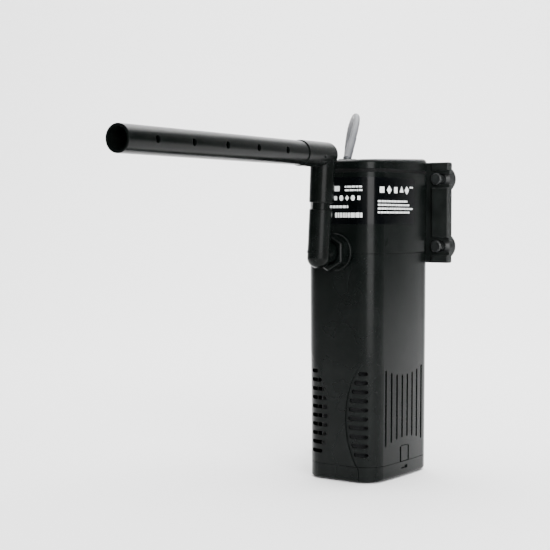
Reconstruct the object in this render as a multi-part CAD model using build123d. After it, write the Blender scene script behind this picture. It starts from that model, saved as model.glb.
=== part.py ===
"""Internal power filter: submersible pump head on a slotted sponge container, with a pipe and spray bar.

Millimetres, +Z up. The origin is the centre of the base, on the surface that the filter stands on.
-Y is the front, where the water comes out; +Y is the back, where the bracket holds it to the glass.
"""
import os
from math import cos, pi, radians, sin, sqrt, tan

from build123d import *

# ---- driving dimensions -------------------------------------------------------------------------
WIDTH = 61.0              # across the body at the top, X
DEPTH = 84.0              # front to back at the top, Y
HEIGHT = 225.0            # floor to the top of the cover, near its back
CORNER = 14.5             # radius of the body's vertical corners
FACE_RADIUS = 380.0       # the four faces are slightly bulged, with this radius
DRAFT = 0.0035            # each side leans in by this much per millimetre downwards
WALL = 2.2
SEAM_GAP = 0.3            # line between two casings
RUN = 0.05                # radial clearance of a running fit
CLEAR = 0.3               # gap between pieces that move past each other

FOOT_HEIGHT = 0.6         # gap under the cap's rim
FOOT_INSET = 5.0          # the foot stands in by this from the rim
CAP_EDGE = 2.4            # rounding of the cap's lower edge
CAP_TOP = 11.0            # bottom cap to container
SPIGOT_TOP = 16.0         # top of the cap's collar inside the container
CAP_FLOOR = 4.5
CONTAINER_TOP = 157.9     # container to pump head
HOUSING_TOP = 213.9       # pump head to its cover seal
COVER_BOTTOM = 216.3
FLOOR_Z = 168.0           # floor of the dry motor space
FLOOR_TOP = 170.5
HOUSING_WALL = 2.5

LID_SLOPE = 2.0           # degrees; the cover rises towards the back
LID_MIDDLE = 224.0        # its height at the middle
LID_THICK = 3.0

WAIST_Z = 44.0            # narrowest height of the hourglass panel on the front
RECESS = 0.9              # the grilles beside it are set back by this, fading to nothing at the corners
RECESS_TOP = 98.0
SLOT_ROWS = 10
SLOT_PITCH = 6.24
SLOT_HEIGHT = 2.7
SLOT_TOP_Z = 75.7
SLOT_OUTER_X = 22.8
SLOT_INSET = 2.0          # from the panel's edge to the slots
SLIT_COUNT = 8
SLIT_PITCH = 7.0
SLIT_WIDTH = 2.1
SLIT_TOP, SLIT_BOTTOM = 72.6, 28.5     # of the middle slits
SLIT_RISE, SLIT_FALL = 4.8, 4.4        # how much further the outermost slits reach, up and down

TONGUE_HALF = 4.5         # half width of the snap tongues
TONGUE_WINDOW = 6.4       # half width of the window that they stand in
TONGUE_TOP = 22.0         # height of their hinge line
TONGUE_THICK = 2.1
STEM_HALF = 3.8           # half width of the tongue's stem, behind its plate
STEM_LOW, BRIDGE_LOW, BRIDGE_TOP = 5.8, 12.0, 14.0
STEM_BACK = 1.8           # how far the stem reaches in behind the plate
NOSE_HALF = 3.5           # half width of the catch at the stem's foot
NOSE_LOW, NOSE_TOP = 6.5, 7.9

CORE_R, CORE_BORE = 9.0, 7.5
CORE_TOP = 146.5
SPONGE_LOW, SPONGE_TOP = 6.5, 145.0
SPONGE_INSET = 6.3

ROTOR_X, ROTOR_Y = -4.5, -8.0
SHAFT_R = 1.5
SHAFT_LOW, SHAFT_TOP = 149.5, 204.3
WELL_R, WELL_BORE = 8.5, 7.1
WELL_BOTTOM, WELL_TOP = 165.8, 206.5
BUSH_R, BUSH_LENGTH = 3.0, 3.0
STACK_LOW, STACK_TOP = 179.0, 199.0    # of the stator's laminations
STACK_X = 17.0                         # half width of the stack
LEG_X = 8.0                            # half width of the space between its two legs
YOKE_FROM, YOKE_TO = 22.0, 29.0        # the yoke behind the legs, from the rotor's axis
BOBBIN_WALL, BOBBIN_FLANGE, COIL_DEPTH = 1.2, 5.6, 5.2
RESIN_TOP = 208.0
CHAMBER_R = 19.0
CHAMBER_BOTTOM = 152.5
INLET_COUNT, INLET_R, INLET_PLACE = 6, 3.0, 9.0
BLADE_COUNT, WHEEL_R, HUB_R = 5, 14.5, 3.6

OUTLET_Z = 159.0
SPIGOT_R = 6.2
SPIGOT_BORE = 4.8
PORT_R = 8.5              # hole in the casings that the outlet passes through
PORT_INSIDE = -20.0       # Y where that hole ends, inside the body
FLANGE_R, FLANGE_FRONT, FLANGE_BACK = 13.0, -44.8, -41.9
SLEEVE_R, SLEEVE_FRONT, SLEEVE_BACK = 8.45, -49.2, -39.4
ORING_FRONT, ORING_BACK = -52.2, -50.4
NUT_FLATS, NUT_LENGTH, NUT_BACK, NUT_BORE = 22.0, 9.0, -45.2, 8.8
PIPE_Y = -64.5            # the rising pipe's axis, in front of the body
LEAN = radians(3.0)       # the pipe leans to the side, turned on the outlet
YAW = radians(5.0)        # the spray bar is turned on the pipe
ELBOW_R = 7.75
HEEL, HEEL_ROUND = 10.4, 7.2           # the domed heel reaches this far below the outlet's axis
RISER_BORE, RISER_LOW, RISER_TOP = 4.9, 13.0, 47.0
LOWER_TOP = 29.4          # heights along the rising pipe, from the outlet's axis
UPPER_BOTTOM = 33.8
RISE = 66.0
BAR_R = 8.0
BAR_BORE = 6.5
BAR_TAIL_R = 7.4          # the bar's reduced tail, inside the elbow
ARM_R = 8.6               # the upper elbow's arm, flush to the eye with the bar
ARM_BACK, ARM_FRONT = -8.3, 32.8
ARM_ROUND = 4.2           # rounding of the arm's closed end
LEG_FOOT_R, LEG_TOP_R = 8.15, 8.5      # the upper elbow's leg widens upwards
SOCKET_START, TAIL_START_X = 14.5, 15.0
BAR_END = 225.0           # from the rising pipe's axis to the open end
JET_COUNT = 5
JET_PITCH = 34.7
JET_R = 2.1
JET_RISE = 6.0            # degrees that the jets point above level
FIRST_JET = 25.5          # from the open end

BRACKET_BOTTOM, BRACKET_TOP = 150.0, 223.0
WING_X = 40.0
CUP_X = 30.0
CUP_Z = (162.0, 211.0)
PLATE_FRONT, PLATE_BACK = 45.5, 49.5
PAD_FRONT, PAD_X = 43.0, 26.6          # raised pads of the plate, beside the knobs
POCKET = 6.3              # half height of the pockets that the knobs sit in
RAIL_LOW, RAIL_HIGH = 161.0, 212.0
RAIL_NECK_X, RAIL_HEAD_X = 7.0, 11.0   # half widths of the T-shaped rail on the pump head
RAIL_ROOT, RAIL_HEAD, RAIL_BACK = 40.2, 44.6, 47.1
RAIL_PLAY = 0.4
BLOCK_X, BLOCK_FRONT, BLOCK_BACK = 16.0, 42.7, 50.4    # thick middle of the plate, round the rail
WINDOW_X, WINDOW_LOW, WINDOW_TOP = 6.0, 156.0, 216.0
CUP_HOLE_R = 4.0
CUP_RIM_Y = 55.7

CORD_R = 2.4
CORD_LENGTH = 1500.0
COIL_CENTRE = (-48.5, 66.1)
COIL_MID_R = 26.5
COIL_BAND = 14.4          # width of the coil's cross-section, three turns
COIL_LOW, COIL_HIGH = 0.8, 14.2
GLAND = Vector(-17.0, -2.5, 225.0)
GLAND_SEAT = 223.2        # flat seat cut into the sloped cover
GLAND_AXIS = Vector(-0.165, 0.635, 0.755).normalized()
RELIEF_BASE_R, RELIEF_TIP_R = 3.0, 2.6
RELIEF_LENGTH = 21.0
GLAND_STEM_R, GLAND_HEAD_R, GLAND_PLAY = 4.5, 6.5, 0.1
TIE_HALF, TIE_TURN = 4.0, 205.0        # half width of the tie, and where it sits round the coil
LEAD_ROUTE = [
    Vector(-20.5, 10.8, 240.8), Vector(-24.0, 22.8, 254.6), Vector(-37.6, 41.3, 261.0),
    Vector(-53.9, 58.3, 250.0), Vector(-62.4, 67.0, 224.0), Vector(-65.0, 66.2, 172.0),
    Vector(-66.1, 52.9, 118.0), Vector(-62.9, 35.3, 66.6), Vector(-59.9, 26.3, 35.6),
    Vector(-52.6, 29.9, 20.6), Vector(-41.5, 38.2, 12.6), Vector(-30.5, 47.1, 11.6),
]
TAIL_START = Vector(-23.6, 84.9, 7.4)
AWAY = Vector(-0.6018, 0.7986, 0.0)
TAIL_LENGTH = 24.0
PLUG_LENGTH = 36.0
PIN_LENGTH = 19.0
PIN_SPACING = 19.0

PARTS = {}


def half_width(z, inset=0.0):
    return WIDTH / 2 - DRAFT * (HEIGHT - z) - inset


def half_depth(z, inset=0.0):
    return DEPTH / 2 - DRAFT * (HEIGHT - z) - inset


def outline(z, inset=0.0):
    """The body's cross-section at a height: four bulged sides with tangent corner arcs."""
    a, b = half_width(z, inset), half_depth(z, inset)
    big, corner = FACE_RADIUS - inset, CORNER - inset
    p, q, reach = big - b, big - a, big - corner
    m, n = q / p, (p * p + q * q) / (2 * p)
    cx = (-m * n + sqrt(m * m * n * n - (1 + m * m) * (n * n - reach * reach))) / (1 + m * m)
    cy = m * cx + n - p
    to_side = Vector(cx + q, cy).normalized()
    to_end = Vector(cx, cy + p).normalized()
    side = Vector(cx, cy) + to_side * corner
    end = Vector(cx, cy) + to_end * corner
    mid = Vector(cx, cy) + (to_side + to_end).normalized() * corner

    def at(point, sx, sy):
        return (point.X * sx, point.Y * sy)

    edges = [
        ThreePointArc(at(side, 1, -1), (a, 0), at(side, 1, 1)),
        ThreePointArc(at(side, 1, 1), at(mid, 1, 1), at(end, 1, 1)),
        ThreePointArc(at(end, 1, 1), (0, b), at(end, -1, 1)),
        ThreePointArc(at(end, -1, 1), at(mid, -1, 1), at(side, -1, 1)),
        ThreePointArc(at(side, -1, 1), (-a, 0), at(side, -1, -1)),
        ThreePointArc(at(side, -1, -1), at(mid, -1, -1), at(end, -1, -1)),
        ThreePointArc(at(end, -1, -1), (0, -b), at(end, 1, -1)),
        ThreePointArc(at(end, 1, -1), at(mid, 1, -1), at(side, 1, -1)),
    ]
    return Pos(0, 0, z) * Face(Wire(edges))


def prism(low, high, inset=0.0, inset_high=None):
    """The body's own shape between two heights, drawn in by an inset from its outside."""
    top = inset if inset_high is None else inset_high
    return loft([outline(low, inset), outline(high, top)], ruled=True)


def block(x0, x1, y0, y1, z0, z1):
    return Pos((x0 + x1) / 2, (y0 + y1) / 2, (z0 + z1) / 2) * Box(x1 - x0, y1 - y0, z1 - z0)


def post(x, y, z0, z1, r):
    return Pos(x, y, (z0 + z1) / 2) * Cylinder(r, z1 - z0)


def tube_y(x, z, y0, y1, r):
    """A cylinder along Y."""
    return Pos(x, (y0 + y1) / 2, z) * Rot(90, 0, 0) * Cylinder(r, y1 - y0)


def keep(name, shape):
    PARTS[name] = shape


# ---- container, bottom cap and sponge -------------------------------------------------------------
def waist(z):
    """Half width of the front panel, an hourglass."""
    dz = z - WAIST_Z
    return 6.5 + 0.0068 * dz ** 2 + 1.26e-6 * dz ** 4


def grille_recess():
    """What is cut from the front corners so that the hourglass panel between them stands proud."""
    heights = (9.0, 25.0, 44.0, 60.0, 75.0, 87.0, 92.0)
    curve = [(waist(z), z) for z in heights]
    low, wide = -1.0, WIDTH
    outside = Polyline(curve[-1], (wide, heights[-1]), (wide, low), (waist(heights[0]), low), curve[0])
    side = extrude(Plane.XZ * make_face([Spline(*curve), *outside.edges()]), DEPTH)
    side = side & block(0, wide, -DEPTH, CORNER - DEPTH / 2, low, RECESS_TOP)
    fade_from = 60.0
    core = Pos(0, RECESS, 0) * prism(low - 1, fade_from)
    core = core + loft([Pos(0, RECESS, 0) * outline(fade_from), Pos(0, -0.05, 0) * outline(RECESS_TOP)],
                       ruled=True)
    cutter = side - core
    return cutter + mirror(cutter, about=Plane.YZ)


def front_slots():
    slots = []
    for row in range(SLOT_ROWS):
        z = SLOT_TOP_Z - row * SLOT_PITCH
        inner = waist(z) + SLOT_INSET
        length = SLOT_OUTER_X - inner
        slot = extrude(Plane.XZ.offset(DEPTH / 2 - 14) * SlotOverall(length, SLOT_HEIGHT), 25)
        middle = (SLOT_OUTER_X + inner) / 2
        slots += [Pos(middle, 0, z) * slot, Pos(-middle, 0, z) * slot]
    return slots


def side_slits():
    slits = []
    for k in range(SLIT_COUNT):
        place = (k - (SLIT_COUNT - 1) / 2) / ((SLIT_COUNT - 1) / 2)
        y = place * SLIT_PITCH * (SLIT_COUNT - 1) / 2
        top = SLIT_TOP + SLIT_RISE * place ** 2
        bottom = SLIT_BOTTOM - SLIT_FALL * place ** 2
        slit = extrude(Plane.YZ.offset(25) * SlotOverall(top - bottom, SLIT_WIDTH, rotation=90), 15)
        slit = Pos(0, y, (top + bottom) / 2) * slit
        slits += [slit, mirror(slit, about=Plane.YZ)]
    return slits


def tongue(side):
    outer = half_width(TONGUE_TOP)
    inner = outer - TONGUE_THICK
    plate = block(inner, outer, -TONGUE_HALF, TONGUE_HALF, CAP_TOP + 0.6, TONGUE_TOP)
    roll = Pos(outer - TONGUE_THICK / 2, 0, TONGUE_TOP) * Rot(90, 0, 0)
    plate = plate + roll * Cylinder(TONGUE_THICK / 2, 2 * TONGUE_HALF)
    bridge = block(inner - STEM_BACK, inner + 0.4, -STEM_HALF, STEM_HALF, BRIDGE_LOW, BRIDGE_TOP)
    stem = block(inner - STEM_BACK, inner - 0.5, -STEM_HALF, STEM_HALF, STEM_LOW, BRIDGE_TOP)
    nose = block(inner - 0.6, inner + 1.0, -NOSE_HALF, NOSE_HALF, NOSE_LOW, NOSE_TOP)
    shape = plate + bridge + stem + nose
    return shape if side > 0 else mirror(shape, about=Plane.YZ)


def tongue_window():
    outer = half_width(TONGUE_TOP)
    window = block(outer - 4, outer + 3, -TONGUE_WINDOW, TONGUE_WINDOW, 0, TONGUE_TOP)
    bar = Pos(outer - TONGUE_THICK / 2, 0, TONGUE_TOP) * Rot(90, 0, 0)
    return window + bar * Cylinder(TONGUE_THICK / 2 + CLEAR, 2 * (TONGUE_HALF + CLEAR))


def make_container(recess):
    shell = prism(CAP_TOP + SEAM_GAP, CONTAINER_TOP) - prism(CAP_TOP, CONTAINER_TOP + 1, WALL)
    shell = shell - recess
    for cut in front_slots() + side_slits():
        shell = shell - cut
    window = tongue_window()
    shell = shell - window - mirror(window, about=Plane.YZ)
    shell = shell - tube_y(0, OUTLET_Z, -DEPTH, PORT_INSIDE, PORT_R + 0.4)
    keep("filter_container", shell)
    keep("tongue_right", tongue(1))
    keep("tongue_left", tongue(-1))


def make_cap(recess):
    collar_inset = WALL + 0.4
    rim = fillet(prism(FOOT_HEIGHT, CAP_TOP).faces().sort_by(Axis.Z)[0].edges(), CAP_EDGE)
    cap = rim + prism(CAP_TOP - 1, SPIGOT_TOP, collar_inset)
    cap = cap - prism(CAP_FLOOR, SPIGOT_TOP + 1, collar_inset + 1.8)
    cap = cap - recess
    cap = cap + prism(0, FOOT_HEIGHT + 1, FOOT_INSET)
    outer = half_width(TONGUE_TOP)
    inner = outer - TONGUE_THICK
    pocket_half, catch_half, slack = STEM_HALF + 2.4, NOSE_HALF + 0.7, 0.4
    pocket = block(inner - 5.5, inner - 0.1, -pocket_half, pocket_half, STEM_LOW - 0.6, SPIGOT_TOP + 1)
    catch = block(inner - 1, outer + 3, -catch_half, catch_half, NOSE_LOW - slack, NOSE_TOP + slack)
    for cut in (pocket, catch):
        cap = cap - cut - mirror(cut, about=Plane.YZ)
    keep("bottom_cap", cap)


def make_sponge():
    rows, first, pitch, tall, half, foot_r = 12, 24.0, 10.0, 5.5, 3.0, 14.0
    core = post(0, 0, CAP_FLOOR, CORE_TOP, CORE_R) + post(0, 0, CAP_FLOOR, SPONGE_LOW, foot_r)
    core = core - post(0, 0, CAP_FLOOR - 1, CORE_TOP + 1, CORE_BORE)
    reach = CORE_R + 3
    for row in range(rows):
        z = first + row * pitch
        core = core - block(-reach, reach, -half, half, z, z + tall)
        core = core - block(-half, half, -reach, reach, z, z + tall)
    keep("sponge_core", core)
    sponge = prism(SPONGE_LOW, SPONGE_TOP, SPONGE_INSET)
    keep("filter_sponge", sponge - post(0, 0, SPONGE_LOW - 1, SPONGE_TOP + 1, CORE_R + 0.4))


# ---- pump head -------------------------------------------------------------------------------------
def make_housing():
    shell = prism(CONTAINER_TOP + SEAM_GAP, HOUSING_TOP)
    shell = shell - prism(FLOOR_TOP, HOUSING_TOP + 1, HOUSING_WALL) - prism(157, FLOOR_Z, HOUSING_WALL)
    seam, collar_low, collar_top, collar_inset = CONTAINER_TOP + SEAM_GAP, 151.0, 161.0, 3.0
    groove_low, groove_top, groove_inset = 153.0, 155.4, 3.8
    collar = prism(collar_low, seam, collar_inset) + prism(seam, collar_top, collar_inset - 1)
    collar = collar - prism(collar_low - 1, collar_top + 1, collar_inset + 2)
    groove = prism(groove_low, groove_top, collar_inset - 1)
    groove = groove - prism(groove_low - 0.1, groove_top + 0.1, groove_inset)
    shell = shell + (collar - groove)
    shell = shell - post(ROTOR_X, ROTOR_Y, FLOOR_Z - 8, FLOOR_TOP + 8, WELL_R)
    port = tube_y(0, OUTLET_Z, -DEPTH, PORT_INSIDE, PORT_R)
    neck = block(-RAIL_NECK_X, RAIL_NECK_X, RAIL_ROOT, RAIL_HEAD + 0.2, RAIL_LOW, RAIL_HIGH)
    head = block(-RAIL_HEAD_X, RAIL_HEAD_X, RAIL_HEAD, RAIL_BACK, RAIL_LOW, RAIL_HIGH)
    keep("motor_housing", shell - port + neck + head)
    seal = prism(groove_low + 0.1, groove_top - 0.1, collar_inset - 0.5)
    keep("head_seal", seal - prism(groove_low, groove_top, groove_inset) - port)


def below_lid(low, inset, drop):
    """The body's shape from a height up to the sloped top, lowered by a drop."""
    above = Pos(0, 0, LID_MIDDLE - drop) * Rot(LID_SLOPE, 0, 0) * Pos(0, 0, 20) * Box(200, 200, 40)
    return prism(low, HEIGHT + 5, inset) - above


def make_cover():
    lid = below_lid(COVER_BOTTOM, 0.0, 0.0)
    lid = fillet(lid.faces().sort_by(Axis.Z)[-1].edges(), 3.2)
    lid = lid - below_lid(COVER_BOTTOM - 1, HOUSING_WALL, LID_THICK)
    lid = lid - post(GLAND.X, GLAND.Y, COVER_BOTTOM - 1, HEIGHT + 5, GLAND_STEM_R + GLAND_PLAY)
    lid = lid - post(GLAND.X, GLAND.Y, GLAND_SEAT, HEIGHT + 5, GLAND_HEAD_R + 2 * GLAND_PLAY)
    keep("top_cover", lid)
    keep("cover_seal", prism(HOUSING_TOP + 0.05, COVER_BOTTOM - 0.05, 0.45)
         - prism(HOUSING_TOP, COVER_BOTTOM, HOUSING_WALL))


def make_label():
    low, high, left, back, corner, thick = 178.4, 210.4, -8.0, 11.4, 2.5, 0.3
    front = block(left, WIDTH, -DEPTH, -20, low, high)
    front = fillet(front.edges().filter_by(Axis.Y).sort_by(Axis.X)[:2], corner)
    side = block(12, WIDTH, -50, back, low, high)
    side = fillet(side.edges().filter_by(Axis.X).sort_by(Axis.Y)[-2:], corner)
    skin = prism(low - 1, high + 1, -thick) - prism(low - 2, high + 2, 0)
    keep("rating_label", skin & (front + side))


def make_motor():
    """Stator with its coil in potting resin, beside the thin-walled well that the rotor turns in."""
    x, y = ROTOR_X, ROTOR_Y
    core = block(x - STACK_X, x + STACK_X, y - 9, y + YOKE_TO, STACK_LOW, STACK_TOP)
    core = core - block(x - LEG_X, x + LEG_X, y - 10, y + YOKE_FROM, STACK_LOW - 1, STACK_TOP + 1)
    core = core - post(x, y, STACK_LOW - 1, STACK_TOP + 1, WELL_R + 0.5)
    keep("stator_core", core)

    half = LEG_X - 0.1            # the bobbin fits between the legs

    def sleeve(end, grow):
        """A block round the yoke, grown by an amount, that ends at a half width."""
        return block(x - end, x + end, y + YOKE_FROM - grow, y + YOKE_TO + grow,
                     STACK_LOW - grow, STACK_TOP + grow)

    inside = sleeve(LEG_X + 1, 0)
    wall = sleeve(half, BOBBIN_WALL)
    flanges = sleeve(half, BOBBIN_FLANGE) - sleeve(half - BOBBIN_WALL, BOBBIN_FLANGE + 1)
    keep("coil_bobbin", wall + flanges - inside)
    coil = fillet(sleeve(half - BOBBIN_WALL, COIL_DEPTH).edges().filter_by(Axis.X), 3)
    keep("copper_coil", coil - wall - inside)

    well = post(x, y, WELL_BOTTOM, WELL_TOP, WELL_R) - post(x, y, WELL_BOTTOM - 1, 201, WELL_BORE)
    keep("rotor_well", well - post(x, y, 200, 204.5, BUSH_R))
    resin = prism(FLOOR_TOP, RESIN_TOP, HOUSING_WALL) - post(x, y, 160, WELL_TOP, WELL_R)
    resin = resin - core - sleeve(half, BOBBIN_FLANGE)
    resin = resin - block(x - LEG_X, x + LEG_X, y, y + YOKE_FROM, STACK_LOW - BOBBIN_FLANGE,
                          STACK_TOP + BOBBIN_FLANGE)
    keep("coil_potting", resin)
    keep("rotor_shaft", post(x, y, SHAFT_LOW, SHAFT_TOP, SHAFT_R))
    bush = post(x, y, SHAFT_LOW, SHAFT_LOW + BUSH_LENGTH, BUSH_R) - post(x, y, 149, 153, SHAFT_R)
    keep("shaft_bushes", Compound(children=[bush, Pos(0, 0, 51.8) * bush]))


def make_pump():
    x, y = ROTOR_X, ROTOR_Y
    chamber = post(x, y, CHAMBER_BOTTOM, FLOOR_Z, CHAMBER_R)
    spigot_front = -53.0
    chamber = chamber + tube_y(0, OUTLET_Z, spigot_front, PORT_INSIDE, SPIGOT_R)
    chamber = chamber - post(x, y, CHAMBER_BOTTOM - 0.5, WELL_BOTTOM, CHAMBER_R - WALL)
    chamber = chamber - post(x, y, FLOOR_Z - 8, FLOOR_Z + 2, WELL_R)
    chamber = chamber - tube_y(0, OUTLET_Z, spigot_front - 1, PORT_INSIDE + 5, SPIGOT_BORE)
    keep("pump_chamber", chamber)

    cover = post(x, y, SHAFT_LOW, CHAMBER_BOTTOM, CHAMBER_R)
    for k in range(INLET_COUNT):
        inlet = post(INLET_PLACE, 0, SHAFT_LOW - 0.5, CHAMBER_BOTTOM + 0.5, INLET_R)
        cover = cover - Pos(x, y, 0) * Rot(0, 0, 360 / INLET_COUNT * k) * inlet
    keep("intake_cover", cover - post(x, y, SHAFT_LOW - 0.5, CHAMBER_BOTTOM + 0.5, BUSH_R))

    magnet_low, magnet_top, magnet_r = 172.0, 198.0, 6.6
    magnet = fillet(post(x, y, magnet_low, magnet_top, magnet_r).edges(), 0.6)
    keep("rotor_magnet", magnet - post(x, y, magnet_low - 2, magnet_top + 2, SHAFT_R + RUN))
    blade_low, disc_low, disc_top = 154.0, 163.4, 164.6
    wheel = post(x, y, blade_low - 0.8, magnet_low, HUB_R) + post(x, y, disc_low, disc_top, WHEEL_R)
    for k in range(BLADE_COUNT):
        blade = block(2.5, WHEEL_R, -0.7, 0.7, blade_low, disc_low + 0.1)
        wheel = wheel + Pos(x, y, 0) * Rot(0, 0, 360 / BLADE_COUNT * k) * blade
    keep("impeller", wheel - post(x, y, blade_low - 4, magnet_low + 3, SHAFT_R + RUN))


# ---- outlet, pipe and spray bar --------------------------------------------------------------------
def pipe_axis():
    return Vector(sin(LEAN), 0, cos(LEAN))


def bar_axis():
    return Vector(sin(YAW) * cos(LEAN), -cos(YAW), -sin(YAW) * sin(LEAN))


def make_outlet():
    spigot = tube_y(0, OUTLET_Z, PIPE_Y, PORT_INSIDE, SPIGOT_R)
    ring = tube_y(0, OUTLET_Z, FLANGE_FRONT, FLANGE_BACK, FLANGE_R)
    ring = fillet(ring.edges().group_by(Axis.Y)[0], 1.0)
    flange = ring + tube_y(0, OUTLET_Z, SLEEVE_FRONT, SLEEVE_BACK, SLEEVE_R)
    keep("outlet_flange", flange - spigot)
    keep("outlet_oring", tube_y(0, OUTLET_Z, ORING_FRONT, ORING_BACK, SPIGOT_R + 0.35) - spigot)
    across_corners = NUT_FLATS / cos(pi / 6)
    hexagon = Plane.XZ.offset(-NUT_BACK) * RegularPolygon(across_corners / 2, 6, rotation=30)
    nut = Pos(0, 0, OUTLET_Z) * extrude(hexagon, NUT_LENGTH)
    nut = chamfer(nut.faces().sort_by(Axis.Y)[0].edges(), 0.8)
    keep("union_nut", nut - tube_y(0, OUTLET_Z, PIPE_Y, NUT_BACK + 1, NUT_BORE))


def make_lower_elbow():
    frame = Plane(origin=(0, PIPE_Y, OUTLET_Z), x_dir=(cos(LEAN), 0, -sin(LEAN)), z_dir=pipe_axis())
    leg = Pos(0, 0, (LOWER_TOP - HEEL) / 2) * Cylinder(ELBOW_R, LOWER_TOP + HEEL)
    leg = fillet(leg.edges().group_by(Axis.Z)[0], HEEL_ROUND)
    leg = fillet(leg.edges().group_by(Axis.Z)[-1], 0.6)
    bead = Pos(0, 0, 0.5) * Cylinder(ELBOW_R + 0.35, 1.4)
    spigot = Pos(0, 6.7, 0) * Rot(90, 0, 0) * Cylinder(ELBOW_R - 0.1, 13.4)
    body = leg + bead + spigot
    body = body - Pos(0, 7, 0) * Rot(90, 0, 0) * Cylinder(SPIGOT_R + 0.4, 14)
    body = body - Pos(0, 0, 7) * Cylinder(5.2, 14) - Pos(0, 0, 25) * Cylinder(SPIGOT_R, 24)
    keep("lower_elbow", frame * body)
    riser = post(0, 0, RISER_LOW, RISER_TOP, SPIGOT_R)
    keep("riser_tube", frame * (riser - post(0, 0, RISER_LOW - 1, RISER_TOP + 1, RISER_BORE)))
    ring_height = 41.0
    ring = Pos(0, 0, ring_height) * (Cylinder(SPIGOT_R + 0.2, 1.8) - Cylinder(SPIGOT_R, 2))
    keep("riser_oring", frame * ring)


def make_upper_elbow():
    corner = Vector(0, PIPE_Y, OUTLET_Z) + pipe_axis() * RISE
    frame = Plane(origin=corner, x_dir=bar_axis(), z_dir=pipe_axis())
    drop = RISE - UPPER_BOTTOM
    leg = Pos(0, 0, -drop / 2 - 2) * Cone(LEG_FOOT_R, LEG_TOP_R, drop - 4)
    leg = fillet(leg.edges().group_by(Axis.Z)[0], 0.6)
    arm = Pos((ARM_BACK + ARM_FRONT) / 2, 0, 0) * Rot(0, 90, 0) * Cylinder(ARM_R, ARM_FRONT - ARM_BACK)
    arm = fillet(arm.edges().group_by(Axis.X)[0], ARM_ROUND)
    arm = fillet(arm.edges().group_by(Axis.X)[-1], 0.3)
    stem = Pos(0, 0, -4) * Cylinder(LEG_FOOT_R, 8)
    body = leg + arm + stem
    body = body + Pos(12, 8.2, -1.5) * Sphere(1.1)
    body = body - Pos(0, 0, -drop + 7) * Cylinder(SPIGOT_R + 0.25, 15)
    body = body - Pos(0, 0, -14) * Cylinder(5.4, 28)
    body = body - Pos(8, 0, 0) * Rot(0, 90, 0) * Cylinder(5.6, 16)
    socket = Cylinder(BAR_TAIL_R + 0.25, ARM_FRONT + 1 - SOCKET_START)
    body = body - Pos((SOCKET_START + ARM_FRONT + 1) / 2, 0, 0) * Rot(0, 90, 0) * socket
    keep("upper_elbow", frame * body)

    start, shoulder = TAIL_START_X, ARM_FRONT + CLEAR
    tail = Pos((start + shoulder) / 2, 0, 0) * Rot(0, 90, 0) * Cylinder(BAR_TAIL_R, shoulder - start)
    bar = Pos((shoulder + BAR_END) / 2, 0, 0) * Rot(0, 90, 0) * Cylinder(BAR_R, BAR_END - shoulder)
    bar = fillet(bar.edges().group_by(Axis.X)[-1], 0.4)
    bar = bar + tail
    bar = bar - Pos((start + BAR_END) / 2, 0, 0) * Rot(0, 90, 0) * Cylinder(BAR_BORE, BAR_END)
    for k in range(JET_COUNT):
        jet = Rot(90 + JET_RISE, 0, 0) * Pos(0, 0, -7) * Cylinder(JET_R, 8)
        bar = bar - Pos(BAR_END - FIRST_JET - k * JET_PITCH, 0, 0) * jet
    keep("spray_bar", frame * bar)


# ---- bracket and suction cups ----------------------------------------------------------------------
def make_bracket():
    low, high = BRACKET_BOTTOM, BRACKET_TOP
    plate = block(-WING_X, WING_X, PLATE_FRONT, PLATE_BACK, low, high)
    plate = chamfer(plate.edges().filter_by(Axis.Y), 0.8)
    steps = (low, CUP_Z[0] - POCKET, CUP_Z[0] + POCKET, CUP_Z[1] - POCKET, CUP_Z[1] + POCKET, high)
    for bottom, top in zip(steps[::2], steps[1::2]):
        pad = block(PAD_X, WING_X, PAD_FRONT, PLATE_FRONT + 1, bottom, top)
        pad = chamfer(pad.faces().sort_by(Axis.Y)[0].edges(), 0.6)
        plate = plate + pad + mirror(pad, about=Plane.YZ)
    plate = plate + block(-BLOCK_X, BLOCK_X, BLOCK_FRONT, BLOCK_BACK, low, high)
    neck, head, track_low = RAIL_NECK_X + RAIL_PLAY, RAIL_HEAD_X + RAIL_PLAY, RAIL_LOW - RAIL_PLAY
    plate = plate - block(-neck, neck, BLOCK_FRONT - 1, RAIL_HEAD, track_low, high + 1)
    plate = plate - block(-head, head, RAIL_HEAD - CLEAR, RAIL_BACK + RAIL_PLAY, track_low, high + 1)
    plate = plate - block(-WINDOW_X, WINDOW_X, RAIL_BACK, BLOCK_BACK + 1, WINDOW_LOW, WINDOW_TOP)
    for z in CUP_Z:
        for side in (-1, 1):
            hole = tube_y(side * CUP_X, z, PAD_FRONT + 1, BLOCK_BACK + 1, CUP_HOLE_R)
            mouth = Pos(side * (CUP_X + 6), (PLATE_FRONT + PLATE_BACK) / 2, z) * Box(12, 7, 2 * CUP_HOLE_R)
            plate = plate - hole - mouth
    keep("glass_bracket", plate)


def make_cups():
    """Four rubber cups; each neck sits in a slot of the bracket between a knob and the cup."""
    rim, tip, knob, neck = CUP_RIM_Y, 42.9, 4.4, CUP_HOLE_R - CLEAR
    outside = [(0, tip), (knob - 0.8, tip), (knob, tip + 0.8), (knob, PLATE_FRONT), (neck, PLATE_FRONT),
               (neck, PLATE_BACK), (5.2, PLATE_BACK), (7.6, rim - 4.5), (9.6, rim - 1.7), (10.0, rim),
               (9.2, rim), (7.4, rim - 1.1), (4.0, rim - 2.5), (0, rim - 3.1)]
    number = 1
    for z in CUP_Z:
        for side in (-1, 1):
            profile = Plane.XY * make_face(Polyline(*outside, close=True))
            cup = revolve(profile, axis=Axis.Y)
            keep(f"suction_cup_{number}", Pos(side * CUP_X, 0, z) * cup)
            number += 1


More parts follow.
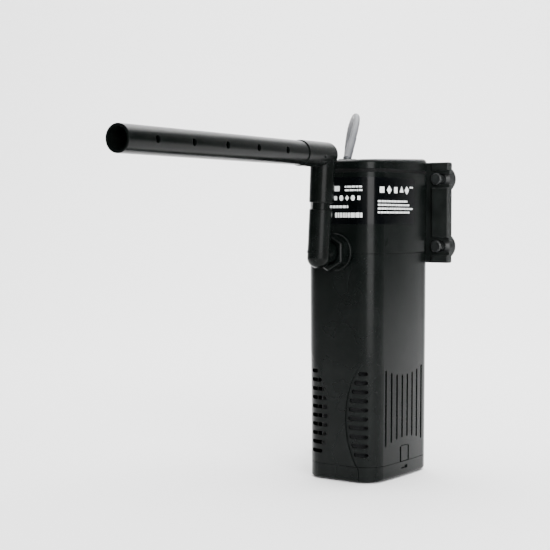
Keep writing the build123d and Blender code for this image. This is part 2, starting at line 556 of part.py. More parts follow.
# ---- mains cord ------------------------------------------------------------------------------------
def route_path(points):
    """Straight runs joined by tangent arcs, each as large as its two runs allow."""
    radii = []
    for before, here, after in zip(points, points[1:], points[2:]):
        run_in, run_out = here - before, after - here
        turn = radians(run_in.get_angle(run_out))
        radii.append(0.45 * min(run_in.length, run_out.length) / tan(turn / 2))
    print("cord radii", [round(r, 1) for r in radii])
    return FilletPolyline(*points, radius=radii)


def make_cord():
    path = route_path(LEAD_ROUTE)
    start = Plane(origin=LEAD_ROUTE[0], z_dir=(LEAD_ROUTE[1] - LEAD_ROUTE[0]).normalized())
    lead = sweep(start * Circle(CORD_R), path=path)
    expected = pi * CORD_R ** 2 * path.length
    print("cord lead length", round(path.length, 1), "volume ratio", round(lead.volume / expected, 4))
    keep("cord_lead", lead)

    cx, cy = COIL_CENTRE
    inner, outer = COIL_MID_R - COIL_BAND / 2, COIL_MID_R + COIL_BAND / 2
    coil = post(cx, cy, COIL_LOW, COIL_HIGH, outer) - post(cx, cy, 0, 20, inner)
    keep("cord_coil", fillet(coil.edges(), 2.0))
    wound = CORD_LENGTH - path.length - TAIL_LENGTH - RELIEF_LENGTH
    print("turns in the coil", round(wound / (2 * pi * COIL_MID_R), 2))

    tail = Plane(origin=TAIL_START, z_dir=AWAY) * Pos(0, 0, TAIL_LENGTH / 2) * Cylinder(CORD_R, TAIL_LENGTH)
    keep("cord_tail", tail)

    band = post(cx, cy, 0.1, 14.9, outer + 0.6) - post(cx, cy, 0, 20, inner - 0.6)
    slab = Pos(cx, cy, 0) * Rot(0, 0, TIE_TURN) * block(10, 45, -TIE_HALF, TIE_HALF, 0, 16)
    inside = post(cx, cy, COIL_LOW, COIL_HIGH, outer) - post(cx, cy, 0, 20, inner)
    keep("coil_tie", (band & slab) - inside)

    top, stem_low = GLAND.Z - 0.1, 220.0
    stem = post(GLAND.X, GLAND.Y, stem_low, top, GLAND_STEM_R)
    keep("cord_gland", stem + post(GLAND.X, GLAND.Y, GLAND_SEAT, top, GLAND_HEAD_R))
    relief_plane = Plane(origin=GLAND, z_dir=GLAND_AXIS)
    relief = relief_plane * Pos(0, 0, RELIEF_LENGTH / 2) * Cone(RELIEF_BASE_R, RELIEF_TIP_R, RELIEF_LENGTH)
    relief = relief + post(GLAND.X, GLAND.Y, top - 0.1, top + 1.6, RELIEF_BASE_R)
    keep("strain_relief", relief - block(-40, 0, -20, 20, 215, top))


def make_plug():
    back = TAIL_START + AWAY * TAIL_LENGTH
    frame = Plane(origin=back, x_dir=(AWAY.Y, -AWAY.X, 0), z_dir=AWAY)
    sections = [Pos(0, 0, 0) * RectangleRounded(9, 8, 3.5),
                Pos(0, 0, 12) * RectangleRounded(14, 10, 4),
                Pos(0, 0, 22) * RectangleRounded(33, 13.4, 5),
                Pos(0, 0, PLUG_LENGTH) * RectangleRounded(35, 13.4, 5)]
    body = loft([section.face() for section in sections], ruled=True)
    keep("plug_body", frame * body)
    pins = []
    for side in (-1, 1):
        pin = Pos(side * PIN_SPACING / 2, 0, PLUG_LENGTH + PIN_LENGTH / 2) * Cylinder(2.0, PIN_LENGTH)
        pins.append(frame * fillet(pin.edges().group_by(Axis.Z)[-1], 1.2))
    keep("plug_pins", Compound(children=pins))


def main():
    os.makedirs("parts", exist_ok=True)
    recess = grille_recess()
    make_container(recess)
    make_cap(recess)
    make_sponge()
    make_housing()
    make_cover()
    make_label()
    make_motor()
    make_pump()
    make_outlet()
    make_lower_elbow()
    make_upper_elbow()
    make_bracket()
    make_cups()
    make_cord()
    make_plug()
    for name, shape in PARTS.items():
        export_step(shape, f"parts/{name}.step")
    print(len(PARTS), "nodes")


main()
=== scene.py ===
"""Looks for an internal power filter: satin ABS casings, glossy pipe and spray bar, grey cord."""
import math
import random

import bmesh
import bpy
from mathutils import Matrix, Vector
from mathutils.bvhtree import BVHTree


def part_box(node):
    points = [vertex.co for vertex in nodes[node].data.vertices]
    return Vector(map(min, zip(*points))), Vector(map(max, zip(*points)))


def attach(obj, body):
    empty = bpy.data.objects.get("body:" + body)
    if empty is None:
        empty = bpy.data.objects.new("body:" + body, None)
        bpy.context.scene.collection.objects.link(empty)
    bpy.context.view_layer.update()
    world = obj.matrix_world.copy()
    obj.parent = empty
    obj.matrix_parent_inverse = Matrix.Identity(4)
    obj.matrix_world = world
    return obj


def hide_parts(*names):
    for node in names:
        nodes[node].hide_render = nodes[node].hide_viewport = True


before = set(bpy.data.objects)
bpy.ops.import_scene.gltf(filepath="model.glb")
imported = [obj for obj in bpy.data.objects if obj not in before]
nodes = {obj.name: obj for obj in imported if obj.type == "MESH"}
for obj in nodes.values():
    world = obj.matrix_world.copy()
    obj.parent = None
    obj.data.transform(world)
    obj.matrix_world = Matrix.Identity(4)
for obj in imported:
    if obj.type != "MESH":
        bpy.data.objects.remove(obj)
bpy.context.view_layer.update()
MM = 0.001


# ---- camera: level with the pump head, three-quarter view of the front and the right side ----------
CAMERA_TURN = math.radians(35.7)
CAMERA_AWAY = 0.930
CAMERA_LEFT = 0.0672
CAMERA_HEIGHT = 0.1805
CAMERA_DOWN = math.radians(2.38)
LENS_MM = 85.1

view_right = Vector((math.cos(CAMERA_TURN), math.sin(CAMERA_TURN), 0))
view_ahead = Vector((-math.sin(CAMERA_TURN), math.cos(CAMERA_TURN), 0))


def make_camera():
    """The camera at its place, looking along view_ahead and a little down."""
    data = bpy.data.cameras.new("camera")
    data.lens = LENS_MM
    data.sensor_width = 36.0
    data.clip_start = 0.01
    camera = bpy.data.objects.new("camera", data)
    camera.location = -CAMERA_LEFT * view_right - CAMERA_AWAY * view_ahead
    camera.location.z = CAMERA_HEIGHT
    camera.rotation_euler = (math.pi / 2 - CAMERA_DOWN, 0, CAMERA_TURN)
    bpy.context.collection.objects.link(camera)
    bpy.context.scene.camera = camera


# ---- materials -------------------------------------------------------------------------------------
NOISE_LOW, NOISE_HIGH = 0.3, 0.7      # where most of a noise texture's values lie
TINT_LOW, TINT_HIGH = 0.35, 0.65      # where one tint gives way to the other


def linear(code):
    """An sRGB hex colour as the linear RGBA that a shader takes."""
    channels = [int(code[i:i + 2], 16) / 255 for i in (1, 3, 5)]
    return tuple(c / 12.92 if c <= 0.04045 else ((c + 0.055) / 1.055) ** 2.4 for c in channels) + (1.0,)


def add(tree, kind, values=None, links=None, **settings):
    """Adds one node to a tree, with its settings, its sockets' values and the links into it."""
    made = tree.nodes.new("ShaderNode" + kind)
    for name, value in settings.items():
        setattr(made, name, value)
    for socket, value in (values or {}).items():
        made.inputs[socket].default_value = value
    for socket, (source, output) in (links or {}).items():
        tree.links.new(source.outputs[output], made.inputs[socket])
    return made


def surface(name, values, links=None):
    """A new material with one Principled surface."""
    made = bpy.data.materials.new(name)
    made.use_nodes = True
    tree = made.node_tree
    tree.nodes.clear()
    shader = add(tree, "BsdfPrincipled", values)
    add(tree, "OutputMaterial", links={"Surface": (shader, "BSDF")})
    return made, tree, shader


def grain(tree, shader, place, size_mm, depth_mm, strength, edge_mm=0.25):
    """Fine moulded texture, over edges rounded as the tool leaves them."""
    edge = add(tree, "Bevel", {"Radius": edge_mm * MM}, samples=4)
    noise = add(tree, "TexNoise", {"Scale": 1 / (size_mm * MM), "Detail": 3.0, "Roughness": 0.6},
                {"Vector": (place, "Object")})
    bump = add(tree, "Bump", {"Strength": strength, "Distance": depth_mm * MM},
               {"Height": (noise, "Fac"), "Normal": (edge, "Normal")})
    tree.links.new(bump.outputs["Normal"], shader.inputs["Normal"])
    return noise


def uneven(tree, shader, socket, place, size_mm, low, high):
    """Slow patches across a surface, from low to high: handling, release agent, flow in the mould."""
    noise = add(tree, "TexNoise", {"Scale": 1 / (size_mm * MM), "Detail": 4.0, "Roughness": 0.55},
                {"Vector": (place, "Object")})
    spread = add(tree, "MapRange",
                 {"From Min": NOISE_LOW, "From Max": NOISE_HIGH, "To Min": low, "To Max": high},
                 {"Value": (noise, "Fac")})
    tree.links.new(spread.outputs["Result"], shader.inputs[socket])


def tinted(tree, shader, place, size_mm, first, second):
    """Two close colours in soft patches."""
    noise = add(tree, "TexNoise", {"Scale": 1 / (size_mm * MM), "Detail": 3.0},
                {"Vector": (place, "Object")})
    ramp = add(tree, "ValToRGB", links={"Fac": (noise, "Fac")})
    ramp.color_ramp.elements[0].position = TINT_LOW
    ramp.color_ramp.elements[1].position = TINT_HIGH
    ramp.color_ramp.elements[0].color = linear(first)
    ramp.color_ramp.elements[1].color = linear(second)
    tree.links.new(ramp.outputs["Color"], shader.inputs["Base Color"])


def satin_abs():
    """ABS moulded in a lightly spark-eroded tool: near black with a green cast and a soft broad sheen."""
    made, tree, shader = surface("satin_abs", {"IOR": 1.53, "Specular IOR Level": 0.08})
    place = add(tree, "TexCoord")
    tinted(tree, shader, place, 18.0, "#050807", "#090c0b")
    uneven(tree, shader, "Roughness", place, 14.0, 0.2, 0.27)
    grain(tree, shader, place, 0.35, 0.03, 0.13)     # real grain is about 0.05 mm, drawn coarser
    return made


def gloss_abs():
    """ABS moulded in a polished tool: black, with clear highlights along the pipe."""
    made, tree, shader = surface("gloss_abs", {"IOR": 1.53, "Specular IOR Level": 0.07})
    place = add(tree, "TexCoord")
    tinted(tree, shader, place, 12.0, "#040605", "#080b0a")
    uneven(tree, shader, "Roughness", place, 9.0, 0.19, 0.26)
    grain(tree, shader, place, 0.9, 0.02, 0.12)      # faint waviness of the polished wall
    return made


def matt_abs():
    """ABS moulded in a blasted tool: flat dark grey, a little paler than the casings."""
    made, tree, shader = surface("matt_abs", {"IOR": 1.53, "Specular IOR Level": 0.15})
    place = add(tree, "TexCoord")
    tinted(tree, shader, place, 10.0, "#0c0f0e", "#131615")
    uneven(tree, shader, "Roughness", place, 8.0, 0.42, 0.52)
    grain(tree, shader, place, 0.4, 0.04, 0.35, edge_mm=0.4)
    return made


def inner_abs():
    """Plain unpolished ABS of the pieces inside."""
    made, tree, shader = surface("inner_abs", {"IOR": 1.53})
    place = add(tree, "TexCoord")
    tinted(tree, shader, place, 8.0, "#191b1c", "#212425")
    uneven(tree, shader, "Roughness", place, 7.0, 0.38, 0.5)
    grain(tree, shader, place, 0.5, 0.03, 0.3)
    return made


def label_film():
    """Polyester label with a clear gloss laminate: deep black and mirror-like, with slight ripple."""
    made, tree, shader = surface("label_film", {"IOR": 1.58, "Base Color": linear("#030405"),
                                                "Specular IOR Level": 0.09})
    place = add(tree, "TexCoord")
    uneven(tree, shader, "Roughness", place, 6.0, 0.14, 0.2)
    grain(tree, shader, place, 5.0, 0.05, 0.15, edge_mm=0.05)
    return made


def print_ink():
    """White screen ink: flat and slightly uneven."""
    made, tree, shader = surface("print_ink", {"IOR": 1.5, "Roughness": 0.55})
    place = add(tree, "TexCoord")
    tinted(tree, shader, place, 0.5, "#c9cccb", "#eef0ef")
    grain(tree, shader, place, 0.2, 0.01, 0.2, edge_mm=0.03)
    return made


def nitrile_rubber():
    """Moulded nitrile rubber: black and dull, with a dusty bloom."""
    made, tree, shader = surface("nitrile_rubber", {"IOR": 1.52, "Specular IOR Level": 0.1})
    place = add(tree, "TexCoord")
    tinted(tree, shader, place, 3.0, "#030404", "#070808")
    uneven(tree, shader, "Roughness", place, 2.0, 0.55, 0.75)
    grain(tree, shader, place, 0.3, 0.03, 0.4)
    return made


def cup_rubber():
    """Soft dark grey PVC: slightly see-through at the thin rim, with a greasy sheen."""
    made, tree, shader = surface("cup_rubber", {"IOR": 1.52, "Specular IOR Level": 0.22,
                                                "Subsurface Weight": 0.15,
                                                "Subsurface Scale": 0.002,
                                                "Subsurface Radius": (1.0, 0.9, 0.8)})
    place = add(tree, "TexCoord")
    tinted(tree, shader, place, 5.0, "#121414", "#1a1c1c")
    uneven(tree, shader, "Roughness", place, 4.0, 0.32, 0.45)
    grain(tree, shader, place, 0.5, 0.03, 0.25, edge_mm=0.3)
    return made


def open_foam():
    """Reticulated polyurethane foam, 9 cells to the centimetre: dark grey struts, with painted shade in
    the pits between them.
    """
    made, tree, shader = surface("open_foam", {"IOR": 1.45, "Roughness": 0.92, "Sheen Weight": 0.3})
    place = add(tree, "TexCoord")
    cell = add(tree, "TexVoronoi", {"Scale": 1 / (1.1 * MM), "Randomness": 0.9},
               {"Vector": (place, "Object")}, feature="DISTANCE_TO_EDGE")
    ramp = add(tree, "ValToRGB", links={"Fac": (cell, "Distance")})
    ramp.color_ramp.elements[0].position = 0.04
    ramp.color_ramp.elements[1].position = 0.24
    # painted shade: the colour darkens from the struts into each cell's hollow, and both colours are kept
    # near black so the foam seen through the slots reads as shade
    ramp.color_ramp.elements[0].color = linear("#101215")
    ramp.color_ramp.elements[1].color = linear("#040506")
    tree.links.new(ramp.outputs["Color"], shader.inputs["Base Color"])
    bump = add(tree, "Bump", {"Strength": 0.9, "Distance": 0.5 * MM}, {"Height": (cell, "Distance")},
               invert=True)
    tree.links.new(bump.outputs["Normal"], shader.inputs["Normal"])
    return made


def stacked(name, values, low, high, pitch_mm, direction, depth_mm):
    """A metal or wire surface lined at a real pitch."""
    made, tree, shader = surface(name, values)
    place = add(tree, "TexCoord")
    wave = add(tree, "TexWave", {"Scale": math.pi / (10 * pitch_mm * MM), "Distortion": 0.4,
                                 "Detail": 1.0}, {"Vector": (place, "Object")},
               bands_direction=direction)
    ramp = add(tree, "ValToRGB", links={"Fac": (wave, "Fac")})
    ramp.color_ramp.elements[0].color = linear(low)
    ramp.color_ramp.elements[1].color = linear(high)
    tree.links.new(ramp.outputs["Color"], shader.inputs["Base Color"])
    bump = add(tree, "Bump", {"Strength": 0.7, "Distance": depth_mm * MM}, {"Height": (wave, "Fac")})
    tree.links.new(bump.outputs["Normal"], shader.inputs["Normal"])
    return made


def lamination_steel():
    """Electrical steel sheets 0.5 mm thick, stamped and stacked: bright edges with dark gaps."""
    return stacked("lamination_steel", {"Metallic": 1.0, "Roughness": 0.38},
                   "#5b5d60", "#a9abad", 0.5, "Z", 0.1)


def enamelled_copper():
    """Enamelled copper wire 0.4 mm thick in close turns: warm, glossy, finely ribbed."""
    # painted shade and highlight: the darker colour lies in the grooves between turns and the paler one
    # along their crests, following the bump
    return stacked("enamelled_copper", {"Metallic": 1.0, "Roughness": 0.25, "Coat Weight": 0.6},
                   "#7c3b1e", "#c8703c", 0.4, "X", 0.2)


def natural_nylon():
    """Unfilled nylon: milky ivory with a waxy sheen."""
    made, tree, shader = surface("natural_nylon", {"IOR": 1.53, "Subsurface Weight": 0.3,
                                                   "Subsurface Scale": 0.002})
    place = add(tree, "TexCoord")
    tinted(tree, shader, place, 6.0, "#d9d4c4", "#e6e2d5")
    uneven(tree, shader, "Roughness", place, 4.0, 0.35, 0.45)
    grain(tree, shader, place, 0.5, 0.02, 0.2)
    return made


def cast_epoxy():
    """Poured epoxy resin: dark brown-black, glossy, gently uneven on top."""
    made, tree, shader = surface("cast_epoxy", {"IOR": 1.55, "Roughness": 0.15})
    place = add(tree, "TexCoord")
    tinted(tree, shader, place, 12.0, "#16110d", "#211a13")
    grain(tree, shader, place, 7.0, 0.3, 0.3)
    return made


def polished_ceramic():
    """Ground alumina shaft: bright white and smooth."""
    made, tree, shader = surface("polished_ceramic", {"IOR": 1.76})
    place = add(tree, "TexCoord")
    tinted(tree, shader, place, 2.0, "#e8e7e2", "#f4f3ef")
    uneven(tree, shader, "Roughness", place, 3.0, 0.12, 0.2)
    return made


def sintered_ferrite():
    """Pressed and fired ferrite: charcoal with a faint sparkle."""
    made, tree, shader = surface("sintered_ferrite", {"IOR": 2.3, "Metallic": 0.2})
    place = add(tree, "TexCoord")
    tinted(tree, shader, place, 0.4, "#1b1c1e", "#303236")
    uneven(tree, shader, "Roughness", place, 1.5, 0.4, 0.6)
    grain(tree, shader, place, 0.25, 0.03, 0.5)
    return made


def pvc_sheath():
    """Extruded PVC sheath: mid grey, smooth, with a dull rubbery shine."""
    made, tree, shader = surface("pvc_sheath", {"IOR": 1.53})
    place = add(tree, "TexCoord")
    tinted(tree, shader, place, 9.0, "#3f4145", "#4b4d51")
    uneven(tree, shader, "Roughness", place, 5.0, 0.36, 0.48)
    grain(tree, shader, place, 0.6, 0.03, 0.2)
    return made


def moulded_pvc():
    """Moulded PVC of the plug: the same grey, a shade darker and a little rougher."""
    made, tree, shader = surface("moulded_pvc", {"IOR": 1.53})
    place = add(tree, "TexCoord")
    tinted(tree, shader, place, 7.0, "#3a3c40", "#45474b")
    uneven(tree, shader, "Roughness", place, 5.0, 0.45, 0.58)
    grain(tree, shader, place, 0.5, 0.05, 0.4, edge_mm=0.9)
    return made


def hook_band():
    """Hook-and-loop band: black, with a coarse looped face."""
    made, tree, shader = surface("hook_band", {"Roughness": 0.95, "Sheen Weight": 0.5})
    place = add(tree, "TexCoord")
    tinted(tree, shader, place, 0.5, "#0e0e0f", "#232325")
    grain(tree, shader, place, 0.6, 0.3, 0.9, edge_mm=0.3)
    return made


def plated_brass():
    """Nickel-plated brass pins: warm silver, unevenly polished."""
    made, tree, shader = surface("plated_brass", {"Metallic": 1.0})
    place = add(tree, "TexCoord")
    tinted(tree, shader, place, 3.0, "#bdb8ad", "#cfcbc2")
    uneven(tree, shader, "Roughness", place, 1.5, 0.18, 0.3)
    return made


def finish_nodes():
    """Gives every carried-over CAD piece the finish that its own material has."""
    finishes = {
        satin_abs: ["bottom_cap", "filter_container", "tongue_right", "tongue_left", "motor_housing",
                    "top_cover", "cord_gland"],
        gloss_abs: ["outlet_flange", "union_nut", "lower_elbow", "riser_tube", "upper_elbow",
                    "spray_bar"],
        matt_abs: ["glass_bracket"],
        inner_abs: ["sponge_core", "pump_chamber", "intake_cover", "rotor_well"],
        label_film: ["rating_label"],
        nitrile_rubber: ["cover_seal", "head_seal", "outlet_oring", "riser_oring", "shaft_bushes"],
        cup_rubber: [f"suction_cup_{n}" for n in range(1, 5)],
        lamination_steel: ["stator_core"],
        enamelled_copper: ["copper_coil"],
        natural_nylon: ["coil_bobbin", "impeller"],
        cast_epoxy: ["coil_potting"],
        polished_ceramic: ["rotor_shaft"],
        sintered_ferrite: ["rotor_magnet"],
        pvc_sheath: ["strain_relief"],
        moulded_pvc: ["plug_body"],
        hook_band: ["coil_tie"],
        plated_brass: ["plug_pins"],
    }
    made = {}
    for finish, names in finishes.items():
        made[finish.__name__] = finish()
        for name in names:
            for place in nodes[name].material_slots:
                place.material = made[finish.__name__]
    return made


# ---- mains cord ------------------------------------------------------------------------------------
CORD_D = 4.8
LEAD_ROUTE = [
    (-20.5, 10.8, 240.8), (-24.0, 22.8, 254.6), (-37.6, 41.3, 261.0), (-53.9, 58.3, 250.0),
    (-62.4, 67.0, 224.0), (-65.0, 66.2, 172.0), (-66.1, 52.9, 118.0), (-62.9, 35.3, 66.6),
    (-59.9, 26.3, 35.6), (-52.6, 29.9, 20.6), (-41.5, 38.2, 12.6),
]
COIL_CENTRE = (-48.5, 66.1)
COIL_START = -46.5            # degrees round the coil where the lead joins it
COIL_TURNS = 7.232
TURN_POINTS = 16
INNER, MIDDLE, OUTER = 20.9, 25.7, 30.5       # radii of turns that lie side by side
LOW, MID, HIGH = 2.6, 7.4, 12.2               # heights of turns that lie on each other
# where each turn lies, from the lead down the inside, out along the floor and up the outside
STACK = [(MIDDLE, HIGH), (INNER, HIGH), (INNER, MID), (INNER, LOW), (MIDDLE, LOW), (OUTER, LOW),
         (OUTER, MID), (OUTER, HIGH)]
STEP_AT, STEP_OVER = 0.82, 0.15               # the share of a turn where it steps to its next place
TAIL_START = Vector((-23.6, 84.9, 7.4))
AWAY = Vector((-0.6018, 0.7986, 0.0))
TAIL_LENGTH = 24.0


def coil_place(turn):
    """Radius and height of the cord after that many turns."""
    radius, height = STACK[0]
    for k, (before, after) in enumerate(zip(STACK, STACK[1:])):
        share = min(max((turn - k - STEP_AT) / STEP_OVER, 0.0), 1.0)
        share = share * share * (3 - 2 * share)
        radius += (after[0] - before[0]) * share
        height += (after[1] - before[1]) * share
    return radius, height


def cord_points():
    """The cord's control points in metres: lead, coil, then the short tail to the plug."""
    points = [Vector(p) for p in LEAD_ROUTE]
    count = round(COIL_TURNS * TURN_POINTS)
    step = 2 * math.pi * COIL_TURNS / count
    reach = 1 / math.cos(step / 2)         # the spline runs inside its points by this ratio
    for k in range(count + 1):
        radius, height = coil_place(COIL_TURNS * k / count)
        angle = math.radians(COIL_START) + k * step
        points.append(Vector((COIL_CENTRE[0] + radius * reach * math.cos(angle),
                              COIL_CENTRE[1] + radius * reach * math.sin(angle), height)))
    points.append(TAIL_START + AWAY * TAIL_LENGTH / 3 + Vector((0, 0, (HIGH - MID) / 2)))
    points.append(TAIL_START + AWAY * TAIL_LENGTH * 2 / 3)
    points.append(TAIL_START + AWAY * TAIL_LENGTH)
    return [p * MM for p in points]


def make_cord(finish):
    """The whole cord as one smooth curve, in place of its plain solids."""
    curve = bpy.data.curves.new("mains_cord", "CURVE")
    curve.dimensions = "3D"
    curve.bevel_depth = CORD_D / 2 * MM
    curve.bevel_resolution = 5
    curve.use_fill_caps = True
    curve.resolution_u = 6
    spline = curve.splines.new("NURBS")
    points = cord_points()
    spline.points.add(len(points) - 1)
    for target, point in zip(spline.points, points):
        target.co = (*point, 1.0)
    spline.order_u = 3
    spline.use_endpoint_u = True
    cord = bpy.data.objects.new("mains_cord", curve)
    bpy.context.collection.objects.link(cord)
    curve.materials.append(finish)
    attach(cord, "head")
    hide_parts("cord_lead", "cord_coil", "cord_tail")


# ---- sponge ----------------------------------------------------------------------------------------
def mesh_piece(name, mesh, body, finish):
    """A new object of that mesh, with its finish and slot, riding on a body."""
    piece = bpy.data.objects.new(name, mesh)
    bpy.context.collection.objects.link(piece)
    piece.data.materials.append(finish)
    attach(piece, body)
    return piece


FOAM_CLEAR, FOAM_END_CLEAR = 0.6, 0.5          # how far the foam stays inside its space
FOAM_CORNER, FOAM_BORE = 10.0, 9.6
FOAM_SQUARE = 1.02            # pushes the rounded outline out to the flat sides
FOAM_TEAR = 0.45              # how deep the cutting wire tears
END_SHRINK, NEXT_SHRINK = 1.2, 0.3             # rounding of the first and second row at each end
AROUND, ROWS = 96, 64


def make_sponge(finish):
    """A rounded block of foam with its bore, its faces torn slightly uneven by the cutting wire."""
    low, high = (Vector(corner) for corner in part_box("filter_sponge"))
    half_x = (high.x - low.x) / 2 - FOAM_CLEAR * MM
    half_y = (high.y - low.y) / 2 - FOAM_CLEAR * MM
    bottom, top = low.z + FOAM_END_CLEAR * MM, high.z - FOAM_END_CLEAR * MM
    corner, bore = FOAM_CORNER * MM, FOAM_BORE * MM
    rng = random.Random(7)
    made = bmesh.new()
    angles = [2 * math.pi * k / AROUND for k in range(AROUND)]
    spokes = [(math.cos(angle), math.sin(angle)) for angle in angles]
    rings = []
    for row in range(ROWS + 1):
        z = bottom + (top - bottom) * row / ROWS
        shrink = {0: END_SHRINK, 1: NEXT_SHRINK}.get(min(row, ROWS - row), 0.0) * MM
        ring = []
        for c, s in spokes:
            inner_x, inner_y = half_x - corner, half_y - corner
            reach = min(inner_x / max(abs(c), 1e-6), inner_y / max(abs(s), 1e-6))
            out = reach + corner - shrink + rng.uniform(-FOAM_TEAR * MM, 0.0)
            x = max(-half_x + shrink, min(half_x - shrink, c * out * FOAM_SQUARE))
            y = max(-half_y + shrink, min(half_y - shrink, s * out * FOAM_SQUARE))
            ring.append(made.verts.new((x, y, z)))
        rings.append(ring)
    inner = [[made.verts.new((bore * c, bore * s, z)) for c, s in spokes] for z in (bottom, top)]
    for k in range(AROUND):
        n = (k + 1) % AROUND
        for lower, upper in zip(rings, rings[1:]):
            made.faces.new((lower[k], lower[n], upper[n], upper[k]))
        made.faces.new((inner[0][k], inner[0][n], rings[0][n], rings[0][k]))
        made.faces.new((rings[-1][k], rings[-1][n], inner[1][n], inner[1][k]))
        made.faces.new((inner[1][k], inner[1][n], inner[0][n], inner[0][k]))
    bmesh.ops.recalc_face_normals(made, faces=made.faces[:])
    mesh = bpy.data.meshes.new("foam_block")
    made.to_mesh(mesh)
    made.free()
    for face in mesh.polygons:
        face.use_smooth = True
    foam = mesh_piece("foam_block", mesh, "cap", finish)
    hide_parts("filter_sponge")


# ---- label print -----------------------------------------------------------------------------------
INK_LIFT = 0.05               # thickness of the printed marks
INK_SUNK = -0.02              # how far their underside lies in the film
STEP = 1.5                    # a bar follows the film's curve in steps of about this length
GAP = 0.55                    # between two dashes
DASH_MIN, DASH_MAX, DASH_LAST = 1.0, 3.4, 0.8  # and the least room that a last one needs
BETWEEN = 8                   # points along each side of a square or triangle
ROUND = 24                    # sides of a disc
SQUARE, TRIANGLE = math.pi / 4, math.pi / 2    # turns that set them upright
PINHOLE = 0.15                # where the strip of a solid mark closes round its middle
FRONT, SIDE = "front", "side"


def skin_finder(node):
    """Returns a function from a place across the face and a height to the point and normal there."""
    source = nodes[node].data
    tree = BVHTree.FromPolygons([v.co[:] for v in source.vertices],
                                [p.vertices[:] for p in source.polygons])

    def find(face, across, height):
        if face == FRONT:
            start, ahead = Vector((across * MM, -0.1, height * MM)), Vector((0, 1, 0))
        else:
            start, ahead = Vector((0.1, across * MM, height * MM)), Vector((-1, 0, 0))
        point, normal, _, _ = tree.ray_cast(start, ahead)
        if point is None:
            raise ValueError(f"no {node} at {face} {across}, {height}")
        return point, -ahead if normal.dot(ahead) > 0 else normal

    return find


def lay_strip(made, find, face, low, high):
    """A raised mark between two lists of places along its lower and upper edge."""
    rows = []
    for lift in (INK_SUNK, INK_LIFT):
        for edge in (low, high):
            row = []
            for across, height in edge:
                point, normal = find(face, across, height)
                row.append(made.verts.new(point + normal * lift * MM))
            rows.append(row)
    under_low, under_high, over_low, over_high = rows
    last = len(under_low) - 1
    for k in range(last):
        made.faces.new((over_low[k], over_low[k + 1], over_high[k + 1], over_high[k]))
        made.faces.new((under_high[k], under_high[k + 1], under_low[k + 1], under_low[k]))
        made.faces.new((under_low[k], under_low[k + 1], over_low[k + 1], over_low[k]))
        made.faces.new((over_high[k], over_high[k + 1], under_high[k + 1], under_high[k]))
    for k in (0, last):
        made.faces.new((under_low[k], over_low[k], over_high[k], under_high[k]))


def bar(made, find, face, left, right, bottom, top):
    """A plain bar that follows the curve of the film."""
    count = max(1, round((right - left) / STEP))
    places = [left + (right - left) * k / count for k in range(count + 1)]
    lay_strip(made, find, face, [(a, bottom) for a in places], [(a, top) for a in places])


def mark(made, find, face, across, height, reach, sides, turn=0.0, wide=1.0):
    """A solid disc, square or triangle, stretched across by wide."""
    inside, outside = [], []
    between = BETWEEN if sides < ROUND else 1
    for k in range(sides * between + 1):
        angle = turn + 2 * math.pi * (k // between) / sides
        ahead = turn + 2 * math.pi * (k // between + 1) / sides
        share = k % between / between
        x = math.cos(angle) * (1 - share) + math.cos(ahead) * share
        z = math.sin(angle) * (1 - share) + math.sin(ahead) * share
        inside.append((across + PINHOLE * wide * x, height + PINHOLE * z))
        outside.append((across + reach * wide * x, height + reach * z))
    lay_strip(made, find, face, inside, outside)


def words(made, find, face, left, right, bottom, height, seed):
    """A line of plain dashes that stands for small print."""
    rng = random.Random(seed)
    place = left
    while place < right - DASH_LAST:
        length = min(rng.uniform(DASH_MIN, DASH_MAX), right - place)
        bar(made, find, face, place, place + length, bottom, bottom + height)
        place += length + GAP


def make_label_print(finish):
    """Plain bars and simple solid shapes in rows; none of them is a letter or a real mark."""
    find = skin_finder("rating_label")
    made = bmesh.new()
    left, indent, right = -5.5, 6.4, 19.8
    bar(made, find, FRONT, -1.8, 2.2, 201.0, 204.4)
    words(made, find, FRONT, indent, right, 203.3, 1.2, 1)
    words(made, find, FRONT, indent, right, 200.9, 1.2, 2)
    first, pitch, row_height = -1.0, 4.6, 196.2
    for k, (sides, turn) in enumerate(((4, SQUARE), (ROUND, 0), (4, 0), (ROUND, 0), (4, SQUARE))):
        mark(made, find, FRONT, first + pitch * k, row_height, 1.9, sides, turn, 0.8)
    words(made, find, FRONT, left, 9.0, 189.4, 1.7, 3)
    words(made, find, FRONT, -1.4, right, 182.9, 3.2, 4)

    row_height = 201.8
    shapes = ((-30.6, 4, SQUARE), (-22.6, 4, 0), (-14.4, 4, SQUARE), (-6.8, 3, TRIANGLE), (0.2, 4, 0))
    for place, sides, turn in shapes:
        mark(made, find, SIDE, place, row_height, 2.9, sides, turn, 1.0)
    words(made, find, SIDE, 4.4, 8.8, 203.4, 1.1, 5)
    left, top, line, print_height = -34.0, 193.4, 2.55, 1.25
    for row, right in enumerate((1.0, 5.0, 8.6, 4.0)):
        words(made, find, SIDE, left, right, top - line * row, print_height, 10 + row)
    bmesh.ops.recalc_face_normals(made, faces=made.faces[:])
    mesh = bpy.data.meshes.new("label_print")
    made.to_mesh(mesh)
    made.free()
    mesh_piece("label_print", mesh, "head", finish)


# ---- moulded arrow on the pump head ----------------------------------------------------------------
ARROW_MIDDLE, ARROW_FOOT, ARROW_NECK, ARROW_TIP = -24.0, 163.2, 165.2, 168.4
ARROW_FOOT_HALF, ARROW_NECK_HALF = 2.2, 1.3
ARROW_PROUD = 0.3


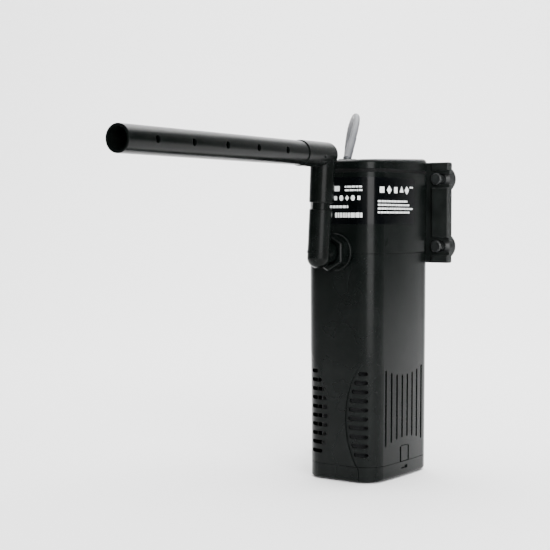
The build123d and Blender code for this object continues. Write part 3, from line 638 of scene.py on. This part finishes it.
def make_arrow(finish):
    """A small raised arrow beside the seam that shows which way the head lifts off."""
    find = skin_finder("motor_housing")
    made = bmesh.new()
    foot = [(ARROW_MIDDLE + side * ARROW_FOOT_HALF, ARROW_FOOT) for side in (-1, 0, 1)]
    head = [(ARROW_MIDDLE - ARROW_NECK_HALF, ARROW_NECK), (ARROW_MIDDLE, ARROW_TIP),
            (ARROW_MIDDLE + ARROW_NECK_HALF, ARROW_NECK)]
    lay_strip(made, find, SIDE, foot, head)
    bmesh.ops.recalc_face_normals(made, faces=made.faces[:])
    mesh = bpy.data.meshes.new("lift_arrow")
    made.to_mesh(mesh)
    made.free()
    arrow = mesh_piece("lift_arrow", mesh, "head", finish)
    thicken = arrow.modifiers.new("thicken", "SOLIDIFY")
    thicken.thickness = ARROW_PROUD * MM
    thicken.offset = 1.0


# ---- floor, backdrop and lights --------------------------------------------------------------------
PAPER_FRONT, PAPER_BACK = -6.0, 1.5            # metres along the view, from the object
PAPER_HALF_WIDTH, PAPER_RISE, PAPER_BEND = 4.0, 2.2, 0.6
BEND_STEPS = 12
UNDER = 0.0001                                 # the paper lies this far under the foot


def pale_paper():
    """Pale paper of the studio floor: even and matt."""
    return surface("pale_paper", {"Roughness": 0.9, "Base Color": linear("#fafafa"),
                                  "Specular IOR Level": 0.2})[0]


def make_stage():
    """One sheet of paper: the floor, a bend and an upright back."""
    made = bmesh.new()
    profile = [(PAPER_FRONT, 0.0), (PAPER_BACK - PAPER_BEND, 0.0)]
    for k in range(1, BEND_STEPS + 1):
        angle = math.pi / 2 * k / BEND_STEPS
        profile.append((PAPER_BACK - PAPER_BEND + PAPER_BEND * math.sin(angle),
                        PAPER_BEND - PAPER_BEND * math.cos(angle)))
    profile.append((PAPER_BACK, PAPER_RISE))
    rows = []
    for ahead, height in profile:
        row = []
        for across in (-PAPER_HALF_WIDTH, PAPER_HALF_WIDTH):
            point = view_ahead * ahead + view_right * across
            row.append(made.verts.new((point.x, point.y, height - UNDER)))
        rows.append(row)
    for lower, upper in zip(rows, rows[1:]):
        made.faces.new((lower[0], lower[1], upper[1], upper[0]))
    mesh = bpy.data.meshes.new("paper_sweep")
    made.to_mesh(mesh)
    made.free()
    for face in mesh.polygons:
        face.use_smooth = True
    sweep = bpy.data.objects.new("paper_sweep", mesh)
    bpy.context.collection.objects.link(sweep)
    mesh.materials.append(pale_paper())


def make_lamp(name, turn, distance, height, width, tall, power, aim):
    """A soft box; turn is its direction from the object, in degrees from the front towards the right."""
    data = bpy.data.lights.new(name, "AREA")
    data.shape = "RECTANGLE"
    data.size = width
    data.size_y = tall
    data.energy = power
    lamp = bpy.data.objects.new(name, data)
    angle = math.radians(turn)
    lamp.location = (math.sin(angle) * distance, -math.cos(angle) * distance, height)
    lamp.rotation_euler = (Vector(aim) - lamp.location).to_track_quat("-Z", "Y").to_euler()
    bpy.context.collection.objects.link(lamp)


def make_lights():
    """A broad box overhead, a wide one in front, a smaller one to the right and a wash behind."""
    world = bpy.data.worlds.new("studio")
    world.use_nodes = True
    world.node_tree.nodes["Background"].inputs["Color"].default_value = linear("#e8ecf0")
    world.node_tree.nodes["Background"].inputs["Strength"].default_value = 0.05
    bpy.context.scene.world = world
    floor, middle = (0, 0, 0), (0, 0, 0.10)
    behind = view_ahead * 1.6 + Vector((0, 0, 0.4))
    make_lamp("overhead", 180, 0.35, 1.7, 2.4, 2.4, 105.0, floor)
    make_lamp("front_box", 30.0, 1.6, 0.75, 1.7, 1.1, 10.5, middle)
    make_lamp("edge_strip", 52.0, 1.5, 0.6, 1.0, 1.3, 42.0, middle)
    make_lamp("backdrop_wash", 180 + math.degrees(CAMERA_TURN), 0.5, 1.5, 2.4, 0.5, 26.0, behind)


make_camera()
finishes = finish_nodes()
make_cord(finishes["pvc_sheath"])
make_sponge(open_foam())
make_label_print(print_ink())
make_arrow(finishes["satin_abs"])
make_stage()
make_lights()
